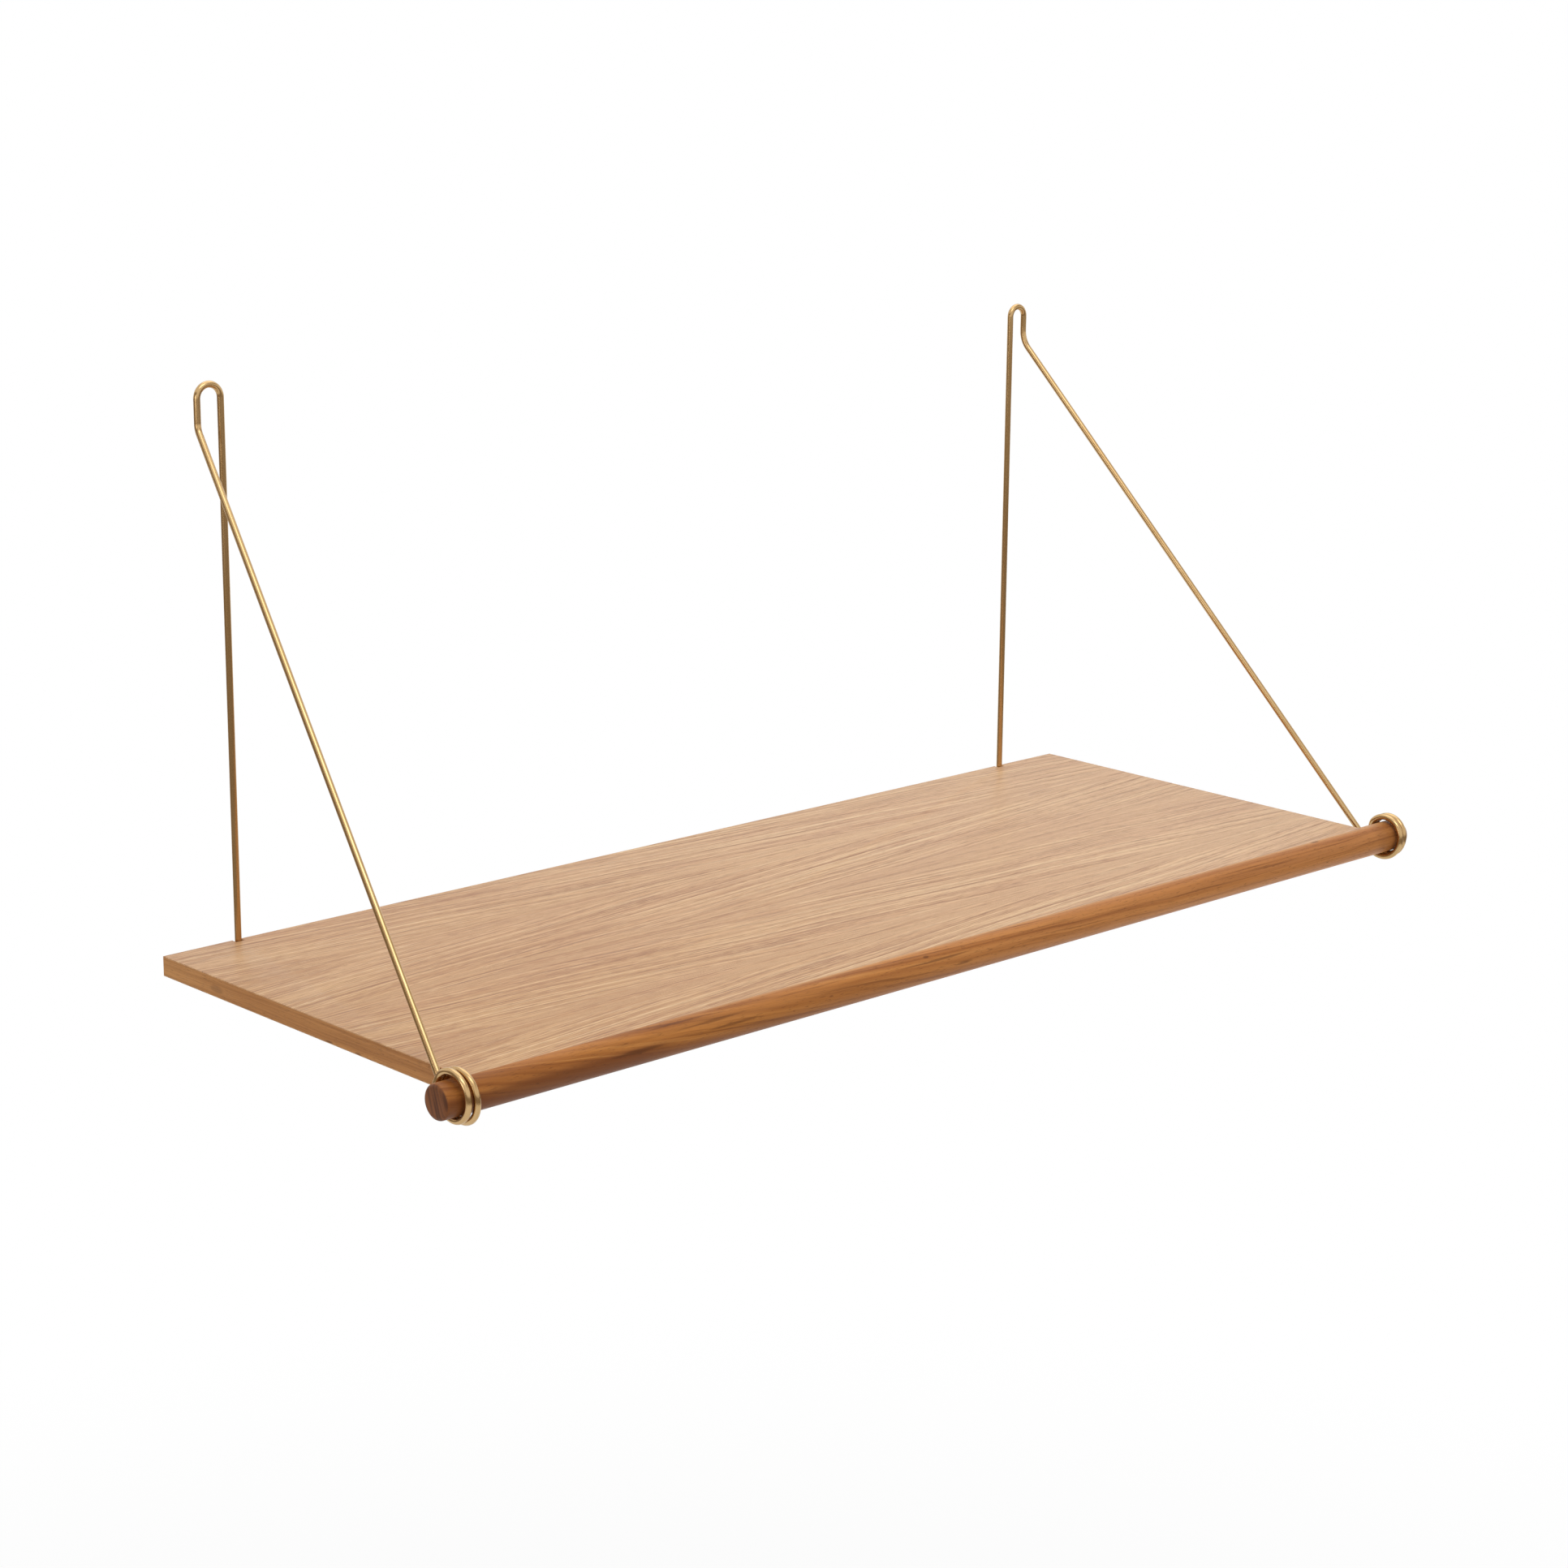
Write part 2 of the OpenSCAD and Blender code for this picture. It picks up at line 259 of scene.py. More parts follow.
start_clean()
bpy.ops.mesh.primitive_cylinder_add(vertices=rail_sides, radius=rail_r,
                                    depth=rail_high.x - rail_low.x, location=rail_middle,
                                    rotation=(0, pi / 2, 0))
rail = settle("rail")
pick(rail, "edges", lambda centre, part: near(centre.x, rail_low.x) or near(centre.x, rail_high.x))
bpy.ops.mesh.bevel(offset=rail_rim, segments=8, profile=0.5, affect="EDGES")
start_clean()

seat_low = Vector((board_low.x - seat_clear, rail_y, board_low.z))
seat_high = Vector((board_high.x + seat_clear, rail_y + 2 * rail_r, board_high.z + rail_r))
bpy.ops.mesh.primitive_cube_add(size=1, location=(seat_low + seat_high) / 2)
bpy.context.object.scale = seat_high - seat_low
cut_away(rail, settle("seat"))
smooth(rail, 30)
hand_over(rail, "oak_rail", "front_rail")

# %% [markdown]
# ## The wires' route
# Each bracket is one length of 4 mm brass wire, bent cold. From its eye under the board it
# runs back to the wall, turns up through the notch, bends over in a narrow hook, drops
# forward in a straight arm and winds twice round the rail's end. A turn lies flat round the
# rail, and crosses over to the next one behind it, close to the wood, where the wire's own
# first stretch passes over it. The route is worked out once, for the right-hand side. The left
# bracket is its mirror image, with its own hook and coil, because wires bent by hand differ a
# little. Angles round the rail are in degrees: 90 is on top, 180 behind and 360 in front.

# %% Hook and arm sizes
hook_w = {"left": 15.6 * MM, "right": 13.2 * MM}
hook_leg = 17 * MM
arm_round = {"left": 3.5 * MM, "right": 7 * MM}
arm_clear = 0.3 * MM  # between an arm and the board's end
join_bend = 4.5 * MM  # how long each side of the bend behind the rail is
screw_clear = 0.3 * MM  # round the screw, in the eye and in its washer
foot_bend_r = 2 * MM + wire_r
eye_r = screw_d / 2 + screw_clear + wire_r

wire_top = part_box("left_bracket")[1].z
wire_y = -wire_r
foot_z = board_low.z - wire_r
print("hook top", round(wire_top / MM, 2), "mm; eye radius", round(eye_r / MM, 2), "mm")

# %% Coil sizes
coil_gap = {"left": 0.2 * MM, "right": 23 * MM}  # from the board's end
join_angle = {"left": 178, "right": 220}  # where the arm meets the coil
asked_lean = {"left": 0, "right": -1.3 * MM}
loose = {"left": 2.4 * MM, "right": 0}  # how far the first bit stands off
coil_play = {"left": 1.3 * MM, "right": 0.7 * MM}  # between wire and wood
first_slack = 0.6 * MM
first_back, first_up = 0.4, 0.15  # the first turn's middle, in shares of the play
coil_turns = 2
turn_pitch = wire_d + 0.5 * MM
rest_turn = radians(72)  # which way the other turns hang
coil_tilt = 0.05
cross_angle, cross_span = 130, 80  # where a turn crosses to the next, and over how many degrees
cross_gap = 0.2 * MM
end_angle = 170
print("coils of", coil_turns, "turns,", round(turn_pitch / MM, 2), "mm apart")

# %% [markdown]
# ## From bends to points
# A bender thinks in straights and bends, and Blender in points. Small helpers give the points
# of an arc, of a rounded corner and of a straight, and a share that starts and stops softly.
# Where an arm comes down is worked out from the board's end, which it has to pass. A coil is a
# circle whose middle, radius and place along the rail slide as it goes round. The points lie
# close enough together to look smooth.

# %% Points along a bent wire
def arc(centre, u, v, radius, start, end, count):
    """Points round a centre, from start to end degrees, in the plane of u and v."""
    turns = [radians(start + (end - start) * i / count) for i in range(count + 1)]
    return [centre + radius * (cos(a) * u + sin(a) * v) for a in turns]


def rounded(before, corner, after, count):
    """Points that round a corner smoothly."""
    shares = [i / count for i in range(count + 1)]
    return [(1 - s) ** 2 * before + 2 * s * (1 - s) * corner + s * s * after for s in shares]


def between(start, end, count):
    """Points along a straight, without its ends."""
    return [start.lerp(end, i / count) for i in range(1, count)]


def eased(share):
    """From 0 to 1, slowly at both ends."""
    share = min(max(share, 0), 1)
    return share * share * (3 - 2 * share)


def lean_out(side, arm_x):
    """How much further out than its coil an arm comes down, enough to pass the board's end."""
    drop = board_high.z - rail_z - join_bend
    share = drop / (wire_top - board_high.z + drop)
    end_x = board_high.x + arm_clear + wire_r
    coil_x = board_high.x + coil_gap[side] + wire_r
    return max(asked_lean[side], (end_x - share * arm_x) / (1 - share) - coil_x)


# %% A coil's points
def coil_point(side, lean, angle):
    """A point of a coil, at so many degrees round the rail."""
    play = coil_play[side]
    coil_r = rail_r + play + wire_r
    first_r = coil_r + first_slack
    coil_centre = Vector((rail_y - play * cos(rest_turn), rail_z + play * sin(rest_turn)))
    first_centre = Vector((rail_y - first_back * play, rail_z + first_up * play))
    turns = [eased((angle - 360 * (n + 1) - cross_angle) / cross_span) for n in range(coil_turns)]
    done = turns[0]
    fresh = 1 - eased((angle - join_angle[side]) / 90)
    dip = 4 * (play - cross_gap) * sum(turn * (1 - turn) for turn in turns)
    radius = first_r + (coil_r - first_r) * done + loose[side] * fresh - dip
    centre = first_centre + (coil_centre - first_centre) * done
    shift = turn_pitch * sum(turns) + max(lean, 0) * done
    up = radius * sin(radians(angle))
    coil_x = board_high.x + coil_gap[side] + wire_r
    return Vector((coil_x + shift + lean * fresh + coil_tilt * up,
                   centre.x - radius * cos(radians(angle)), centre.y + up))


# %% The whole route
eye_start, eye_end = 120, 440
steps = {"eye": 48, "foot": 12, "upright": 12, "hook": 36, "shoulder": 14, "arm": 24, "join": 12,
         "coil": 144}


def bracket_route(leg_x, side):
    """The wire's centre line from eye to coil, for the right-hand side."""
    x, y, z = Vector((1, 0, 0)), Vector((0, 1, 0)), Vector((0, 0, 1))
    hook_r = hook_w[side] / 2
    hook_z = wire_top - wire_r - hook_r
    arm_top = Vector((leg_x + hook_w[side], wire_y, hook_z - hook_leg))
    lean = lean_out(side, arm_top.x)
    start = join_angle[side]
    coil_start = coil_point(side, lean, start)
    into_coil = Vector((coil_tilt * cos(radians(start)), sin(radians(start)), cos(radians(start))))
    arm_foot = coil_start - join_bend * into_coil.normalized()
    arm = (arm_foot - arm_top).normalized()
    bend_end = arm_top + arm_round[side] * arm
    join_start = arm_foot - join_bend * arm
    eye = Vector((leg_x, foot_y, foot_z))
    bend = Vector((leg_x, wire_y - foot_bend_r, foot_z + foot_bend_r))
    upright_top = Vector((leg_x, wire_y, hook_z))
    hook = Vector((leg_x + hook_r, wire_y, hook_z))
    route = arc(eye, x, y, eye_r, eye_start, eye_end, steps["eye"])
    route.append(eye + 2 * eye_r * y)
    route += arc(bend, y, z, foot_bend_r, -90, 0, steps["foot"])
    route += between(bend + foot_bend_r * y, upright_top, steps["upright"])
    route += arc(hook, x, z, hook_r, 180, 0, steps["hook"])
    route += rounded(arm_top + arm_round[side] * z, arm_top, bend_end, steps["shoulder"])
    route += between(bend_end, join_start, steps["arm"])
    route += rounded(join_start, arm_foot, coil_start, steps["join"])
    turned = (360 * coil_turns + end_angle - start) / steps["coil"]
    return route + [coil_point(side, lean, start + turned * (i + 1)) for i in range(steps["coil"])]


routes = {"right": bracket_route(leg_xs[1], "right"),
          "left": [Vector((-p.x, p.y, p.z)) for p in bracket_route(-leg_xs[0], "left")]}
for side, route in routes.items():
    length = sum((end - start).length for start, end in zip(route, route[1:]))
    print(side, "wire:", len(route), "points,", round(length / MM), "mm of wire")

# %% [markdown]
# ## The wires
# A curve with a round bevel is the plainest way to a bent wire: Blender carries the circle
# along the route without twisting it. The curve is then made a mesh, and its two sawn ends
# are eased. Each point of the mesh also keeps how far along the wire it lies and where round
# it, because wire is drawn through a die and the finish needs fine lines that follow it.

# %% A bent wire
wire_sides = 24
sawn_edge = 0.4 * MM


def bent_wire(name, route):
    """A round wire along a route."""
    start_clean()
    bpy.ops.curve.primitive_bezier_curve_add()
    line = bpy.context.object.data
    line.splines.clear()
    spline = line.splines.new("POLY")
    spline.points.add(len(route) - 1)
    for point, place in zip(spline.points, route):
        point.co = (*place, 1)
    line.bevel_depth = wire_r
    line.bevel_resolution = wire_sides // 4 - 1  # steps in a quarter round, less one
    line.use_fill_caps = True
    bpy.ops.object.convert(target="MESH")
    wire = settle(name)
    bpy.ops.object.mode_set(mode="EDIT")
    bpy.ops.mesh.select_all(action="SELECT")
    bpy.ops.mesh.remove_doubles(threshold=0.005 * MM)
    bpy.ops.mesh.normals_make_consistent(inside=False)
    bpy.ops.object.mode_set(mode="OBJECT")
    ends = (route[0], route[-1])
    pick(wire, "polygons", lambda centre, part: len(part.vertices) == wire_sides
         and min((centre - end).length for end in ends) < wire_r / 10)
    bpy.ops.mesh.region_to_loop()
    bpy.ops.mesh.bevel(offset=sawn_edge, segments=3, profile=0.5, affect="EDGES")
    smooth(wire, 50)
    return wire


# %% The way along a wire
def carried_sides(route):
    """The wire's heading at each point, and a direction square to it that never twists."""
    before = [route[0]] + route[:-1]
    after = route[1:] + [route[-1]]
    headings = [(end - start).normalized() for start, end in zip(before, after)]
    side = headings[0].cross(Vector((0.1, 0.2, 1))).normalized()
    sides = []
    for heading in headings:
        side = (side - side.dot(heading) * heading).normalized()
        sides.append(side)
    return headings, sides


def note_way(wire, route):
    """Stores how far along the wire each point lies, and where round it."""
    headings, sides = carried_sides(route)
    places = np.array([tuple(point) for point in route])
    lengths = np.concatenate([[0], np.cumsum(np.linalg.norm(np.diff(places, axis=0), axis=1))])
    corners = np.array([tuple(corner.co) for corner in wire.data.vertices])
    way = np.zeros((len(corners), 3), np.float32)
    for i, corner in enumerate(corners):
        k = int(np.argmin(((places - corner) ** 2).sum(1)))
        out = Vector(corner) - route[k]
        across = headings[k].cross(sides[k])
        turned = atan2(out.dot(across), out.dot(sides[k]))
        way[i] = (lengths[k] + out.dot(headings[k]), cos(turned), sin(turned))
    notes = wire.data.attributes.new("way", "FLOAT_VECTOR", "POINT")
    notes.data.foreach_set("vector", way.ravel())


# %% Both wires
wires = {}
for side, route in routes.items():
    wires[side] = bent_wire(side + "_wire", route)
    note_way(wires[side], route)
    hand_over(wires[side], "brass_wire", side + "_bracket")

# %% [markdown]
# ## Washers and screws
# Under the board, a pan-head screw and a washer hold each wire's eye. They are small and out
# of sight in use, but a shelf is turned over in the hand before it is hung. A washer is a disc
# whose middle is inset and opened. A screw starts as its head: the rim is rounded, the shank
# is extruded out of its back, and a cross is pressed into its face.

# %% Washer
round_sides = 64
washer_edge = 0.15 * MM
washer_hole_r = screw_d / 2 + screw_clear
washer_middle = Vector((leg_xs[0], foot_y, (washer_low.z + washer_high.z) / 2))


def on_rim(centre, part):
    """Whether an edge lies on the washer's outer rim, above or below."""
    out = (centre - washer_middle).to_2d().length
    level = near(centre.z, washer_low.z) or near(centre.z, washer_high.z)
    return level and near(out, washer_r, 0.05 * MM)


start_clean()
bpy.ops.mesh.primitive_cylinder_add(vertices=round_sides, radius=washer_r,
                                    depth=washer_high.z - washer_low.z, location=washer_middle)
left_washer = settle("left_washer")
pick(left_washer, "polygons", lambda centre, part: abs(part.normal.z) > 0.9)
bpy.ops.mesh.inset(thickness=washer_r - washer_hole_r, use_individual=True)
bpy.ops.mesh.bridge_edge_loops()
pick(left_washer, "edges", on_rim)
bpy.ops.mesh.bevel(offset=washer_edge, segments=2, affect="EDGES")
smooth(left_washer, 35)

# %% Screw
screw_low, screw_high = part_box("bracket_screws")
head_h = washer_low.z - screw_low.z
head_r = (screw_high.y - screw_low.y) / 2
point_h = screw_d / 2
point_share = 0.25  # how wide the point's end is, beside the shank
shank_l = screw_high.z - washer_low.z - point_h

start_clean()
bpy.ops.mesh.primitive_cylinder_add(vertices=round_sides, radius=head_r, depth=head_h,
                                    location=(leg_xs[0], foot_y, screw_low.z + head_h / 2))
left_screw = settle("left_screw")
pick(left_screw, "edges", lambda centre, part: near(centre.z, screw_low.z))
bpy.ops.mesh.bevel(offset=head_h / 2, segments=8, profile=0.5, affect="EDGES")
pick(left_screw, "polygons", lambda centre, part: part.normal.z > 0.9)
bpy.ops.mesh.inset(thickness=head_r - screw_d / 2)
bpy.ops.mesh.extrude_region_move(TRANSFORM_OT_translate={"value": (0, 0, shank_l)})
bpy.ops.mesh.extrude_region_move(TRANSFORM_OT_translate={"value": (0, 0, point_h)})
bpy.ops.transform.resize(value=(point_share, point_share, 1))
start_clean()

# %% The cross in its head
cross_taper = 0.7  # how much narrower the cross is at its bottom

for quarter in (0, pi / 2):
    bpy.ops.mesh.primitive_cube_add(size=1, location=(leg_xs[0], foot_y, screw_low.z),
                                    rotation=(0, 0, quarter))
    bpy.context.object.scale = (head_r, head_r / 4, head_h)
    cross = settle("cross")
    pick(cross, "polygons", lambda centre, part: part.normal.z > 0.9)
    bpy.ops.transform.resize(value=(cross_taper, cross_taper, 1))
    start_clean()
    cut_away(left_screw, cross)
smooth(left_screw, 30)


# %% Their twins
def twin(piece, name):
    """A copy of a left-hand piece, with its own mesh, under the right-hand wire."""
    only(piece)
    bpy.ops.object.duplicate(linked=False)
    bpy.ops.transform.translate(value=(leg_xs[1] - leg_xs[0], 0, 0))
    return settle(name)


right_washer = twin(left_washer, "right_washer")
right_screw = twin(left_screw, "right_screw")
for washer in (left_washer, right_washer):
    hand_over(washer, "steel", "bracket_washers")
for screw in (left_screw, right_screw):
    hand_over(screw, "steel", "bracket_screws")

# %% [markdown]
# ## A shorthand for finishes
# A finish is a graph of nodes, and most of it is arithmetic. Written as sums in Python it can
# be read like a recipe. One small class holds an output socket. Adding or multiplying two of
# them adds a Math node, and one method adds any other kind of node.

# %% The shorthand
class Dab:
    """One output socket of a finish; + - * / on it add Math nodes."""

    def __init__(self, tree, socket=None):
        self.tree = tree
        self.socket = socket

    def node(self, kind, settings, values, output=0):
        """Adds a node: its settings first, then its sockets' values or links."""
        new = self.tree.nodes.new(kind)
        for name, setting in settings.items():
            setattr(new, name, setting)
        for place, value in values.items():
            if isinstance(value, Dab):
                self.tree.links.new(value.socket, new.inputs[place])
            else:
                new.inputs[place].default_value = value
        return Dab(self.tree, new.outputs[output])

    def maths(self, operation, a, b=0.0):
        return self.node("ShaderNodeMath", {"operation": operation}, {0: a, 1: b})

    def __add__(self, other):
        return self.maths("ADD", self, other)

    def __sub__(self, other):
        return self.maths("SUBTRACT", self, other)

    def __rsub__(self, other):
        return self.maths("SUBTRACT", other, self)

    def __mul__(self, other):
        return self.maths("MULTIPLY", self, other)

    def __truediv__(self, other):
        return self.maths("DIVIDE", self, other)

    __radd__ = __add__
    __rmul__ = __mul__


print("shorthand ready")


# %% [markdown]
# ## Words for wood and metal
# A few words do most of the work. A noise stretched along one direction is a grain. A step
# with soft sides picks out a line or a patch of it, and a spot is a small oval patch. A blend
# lays one colour over another, and layers are several blends in a row. A bump turns a grain
# into relief. Colours are written the way a paint chart gives them, from 0 to 255, and are
# turned into the light values that Blender works with.

# %% New finishes
def paint(red, green, blue):
    """A colour from a chart, as linear light."""
    shares = [part / 255 for part in (red, green, blue)]
    return (*[s / 12.92 if s < 0.04045 else ((s + 0.055) / 1.055) ** 2.4 for s in shares], 1.0)


def socket_name(word):
    """A socket as Blender writes it: specular_ior_level is Specular IOR Level."""
    return word.replace("_", " ").title().replace("Ior", "IOR")


def new_finish(name, **constants):
    """A material, its one shader, and a first Dab to build on."""
    finish = bpy.data.materials.new(name)
    finish.use_nodes = True
    shader = finish.node_tree.nodes["Principled BSDF"]
    for word, value in constants.items():
        shader.inputs[socket_name(word)].default_value = value
    return finish, shader, Dab(finish.node_tree)


def bare_finish(name):
    """A material without a shader, its output, and a first Dab to build on."""
    finish = bpy.data.materials.new(name)
    finish.use_nodes = True
    tree = finish.node_tree
    tree.nodes.clear()
    return finish, tree.nodes.new("ShaderNodeOutputMaterial"), Dab(tree)


def feed(node, **links):
    """Joins Dabs to the sockets of a node."""
    for word, value in links.items():
        value.tree.links.new(value.socket, node.inputs[socket_name(word)])


def wear(finish, *pieces):
    """Gives pieces a finish, in place of any that they have."""
    for piece in pieces:
        piece.data.materials.clear()
        piece.data.materials.append(finish)
    print(finish.name, "has", len(finish.node_tree.nodes), "nodes, worn by",
          [piece.name for piece in pieces])


print("mid grey", [round(part, 3) for part in paint(128, 128, 128)])


# %% Grain and layers
def apart(vector):
    """The three parts of a vector."""
    return [vector.node("ShaderNodeSeparateXYZ", {}, {0: vector}, i) for i in range(3)]


def here(first):
    """The object's own coordinates, in millimetres."""
    return [part / MM for part in apart(first.node("ShaderNodeTexCoord", {}, {}, "Object"))]


def grain(x, y, z, detail=2.0, roughness=0.5):
    """Soft noise from about -0.5 to 0.5. Each coordinate is already in feature lengths."""
    place = x.node("ShaderNodeCombineXYZ", {}, {0: x, 1: y, 2: z})
    settings = {"noise_dimensions": "3D"}
    sizes = {"Vector": place, "Scale": 1.0, "Detail": detail, "Roughness": roughness}
    return x.node("ShaderNodeTexNoise", settings, sizes) - 0.5


def step(value, low, high):
    """0 below low, 1 above high, with a smooth side between; low may be the greater."""
    settings = {"interpolation_type": "SMOOTHSTEP"}
    return value.node("ShaderNodeMapRange", settings, {0: value, 1: low, 2: high, 3: 0.0, 4: 1.0})


def spot(x, y, x_at, y_at, wide, tall):
    """1 in the middle of a soft oval patch, 0 outside it."""
    across, along = (x - x_at) / wide, (y - y_at) / tall
    return step(across * across + along * along, 1.0, 0.1)


def blend(share, under, over):
    """One colour over another."""
    settings = {"data_type": "RGBA", "clamp_factor": True}
    return share.node("ShaderNodeMix", settings, {0: share, 6: under, 7: over}, 2)


def layered(colour, *layers):
    """Lays colours over a first one, each with its share."""
    for share, over in layers:
        colour = blend(share, colour, over)
    return colour


def marked(colour, x, y, marks, over):
    """Lays oval marks over a colour, each with its place, half width and height, and share."""
    return layered(colour, *[(spot(x, y, *oval) * share, over) for *oval, share in marks])


def relief_of(height, depth):
    """A bump of that depth."""
    return height.node("ShaderNodeBump", {}, {"Strength": 1.0, "Distance": depth, "Height": height})


print("words ready")

# %% [markdown]
# ## Oak veneer
# The faces are crown-cut oak. The knife passes through the growth rings at a slant, so they
# show as long nested arches, which run along the board and point left or right in turn. A Wave
# Texture could draw straight or round rings, but not these, so the arches are drawn by a height
# that rises along the board and waves across it. The figure is then read along that height, in
# layers: broad bands, growth rings, fine threads and short dots. The pores come last, as dark
# dashes that are thickest where a ring's early wood is cut. The tone drifts a little over the
# leaf. Painted shade makes it deepest at the front left corner, where less sheen shows. A
# painted sheen makes it paler towards the right, and the figure is painted a little fainter
# there, as sheen washes it out. In a grain, x / 330 means waves about 330 mm long.

# %% Veneer colours
# Each pair goes from the left to the right, and the right tone is paler: painted sheen.
face_light = paint(207, 157, 105), paint(229, 185, 139)  # at the left and at the right
face_deep = paint(192, 140, 90), paint(215, 169, 124)
face_drift = paint(198, 142, 104)
# Painted shade for the front left corner, where less sheen shows.
face_corner_shade = paint(190, 136, 80)
face_ring_pale, face_ring_dark = paint(240, 205, 156), paint(164, 110, 72)
face_thread_dark, face_thread_pale = paint(152, 101, 66), paint(243, 206, 155)
face_dot_dark, face_dot_pale = paint(150, 98, 64), paint(240, 204, 156)
face_pore = paint(128, 82, 54)
print("pale figure", [round(part, 2) for part in face_thread_pale[:3]])

# %% Veneer finish
arch_width = 164.0
arch_middle = -71.0
arch_slope = 0.078
arch_sharpness = 0.985
shelf_half = 420.0  # a little more than half the shelf's width
face_relief = 0.03 * MM


def oak_veneer(name):
    """Crown-cut oak for the two faces."""
    finish, shader, first = new_finish(name, roughness=0.47, specular_ior_level=0.5)
    x, y, z = here(first)
    # Painted sheen: 0 at the left and 1 at the right, where the tones are painted paler.
    painted_light_rightward = step(x, -shelf_half, shelf_half)
    # Painted sheen also makes the figure fainter towards the right.
    vivid_under_sheen = step(x, shelf_half, -shelf_half) * 0.25 + 0.9
    # Painted shade at the front left corner, where less sheen shows.
    corner = step(x, -150.0, -380.0) * step(y, -110.0, -260.0)
    leaf = z * 0.6

    sway = grain(x / 330, y / 90, leaf)
    ripple = grain(x / 90, y / 30, leaf)
    line_y = y + sway * 20 + ripple * 1.6
    turned = first.maths("COSINE", (line_y - arch_middle) * (2 * pi / arch_width))
    wave = first.maths("ARCSINE", turned * arch_sharpness) * (arch_width / (2 * pi))
    height = x * arch_slope - wave
    tip = step(first.maths("ABSOLUTE", turned), 0.93, 0.995)
    flow = height * (1 - tip) + line_y * tip

    bands = grain(flow / 9, x / 900, leaf)
    rings = grain(flow / 1.9, x / 240, leaf + 5, 2.0, 0.6)
    threads = grain(flow / 0.75, x / 75, leaf + 11, 2.0, 0.6)
    dots = grain(x / 9, flow / 0.55, leaf + 17, 1.0)
    pores = grain(x / 9, line_y / 0.4, leaf, 1.0)
    drift = grain(x / 220, line_y / 26, leaf + 3)
    pale = step(rings, 0.02, 0.22)
    dark = step(rings, -0.02, -0.24)
    light, deep = blend(painted_light_rightward, *face_light), blend(painted_light_rightward, *face_deep)
    colour = layered(
        blend(step(bands, -0.22, 0.22), light, deep),
        (step(drift, -0.15, 0.25) * 0.3, face_drift),
        (corner * 0.4, face_corner_shade),
        (pale * vivid_under_sheen * 0.7, face_ring_pale),
        (dark * vivid_under_sheen * 0.8, face_ring_dark),
        (step(threads, 0.02, 0.2) * vivid_under_sheen * 0.75, face_thread_dark),
        (step(threads, -0.04, -0.22) * vivid_under_sheen * 0.6, face_thread_pale),
        (step(dots, 0.04, 0.24) * (dark * 0.3 + 0.45), face_dot_dark),
        (step(dots, -0.06, -0.26) * 0.4, face_dot_pale),
        (step(pores, 0.1, 0.2) * (dark * 0.5 + 0.2), face_pore))
    feed(shader, base_color=colour,
         roughness=step(pores, 0.05, 0.2) * 0.1 + 0.46 + dark * 0.05,
         normal=relief_of(threads * -0.5 - step(pores, 0.1, 0.22), face_relief))
    return finish


wear(oak_veneer("oak_veneer"), top_face, bottom_face)

# %% [markdown]
# ## Oak edge bands
# The bands are thin strips of solid oak, glued to the ends and the back. Their grain runs
# along each edge, and the same oil makes them a deeper gold than the faces, because they are
# seen square on and show less of the room in their sheen. Painted light makes them paler
# towards the wall. They have a few dark marks from handling.

# %% Band colours and marks
# The third colour is painted light, laid on towards the wall.
band_light, band_deep, band_back_light = paint(196, 136, 78), paint(170, 112, 60), paint(226, 168, 106)
band_fibre, band_pore, band_mark = paint(132, 84, 48), paint(100, 60, 34), paint(96, 60, 38)
band_marks = ((-162.0, -5.6, 5.0, 1.6, 0.75),
              (-188.5, -5.6, 4.0, 1.4, 0.65),
              (-54.0, -1.0, 8.0, 3.0, 0.3))
edge_relief = 0.04 * MM
print(len(band_marks), "marks on a band")


# %% Band finish
def oak_band(name, along):
    """Oak whose grain runs along one axis, 0 for the back's bands and 1 for the ends'."""
    finish, shader, first = new_finish(name, roughness=0.5, specular_ior_level=0.3)
    axes = here(first)
    far, thin, up = axes[along], axes[1 - along], axes[2]
    sway = grain(far / 60, up / 8, thin / 30)
    line_z = up + sway * 4 + far * 0.012
    rings = grain(far / 220, line_z / 2.2, thin / 20, 3.0, 0.6)
    fibre = grain(far / 22, line_z / 0.35, thin / 4, 3.0, 0.6)
    pores = grain(far / 4, line_z / 0.25, thin / 2, 1.0)
    colour = layered(
        blend(step(rings, -0.16, 0.16), band_light, band_deep),
        # Painted light: paler towards the wall.
        (step(axes[1], -90.0, 0.0) * 0.3, band_back_light),
        (step(fibre, 0.0, 0.22) * 0.4, band_fibre),
        (step(pores, 0.14, 0.22) * 0.5, band_pore))
    colour = marked(colour, far, up, band_marks, band_mark)
    feed(shader, base_color=colour, roughness=step(pores, 0.05, 0.2) * 0.12 + 0.45,
         normal=relief_of(fibre * 0.6 - step(pores, 0.1, 0.22), edge_relief))
    return finish


end_bands = [nodes[name] for name in ("left_end_band", "right_end_band")]
back_bands = [nodes[name] for name in ("back_band_left", "back_band_middle", "back_band_right")]
wear(oak_band("oak_end_band", 1), *end_bands)
wear(oak_band("oak_back_band", 0), *back_bands)

# %% [markdown]
# ## Solid oak for the rail
# The rail is turned from solid wood. On its round front the growth rings come out as long
# flames, which start on top at the left and slant down towards the middle; further right they
# run almost straight. They are drawn on the unrolled surface: how far along the rail, and how
# many degrees round it from the top towards the front. Broad rings lie lowest, then streaks,
# fibres and pores. Light and shade are painted into the wood's colour as well: painted shade
# darkens it low down, most at the left, painted light from below lightens it low down towards
# the right, the whole rail is painted a little lighter towards the right, and a painted sheen
# makes the crest pale. Marks are darker patches whose outlines follow the streaks.

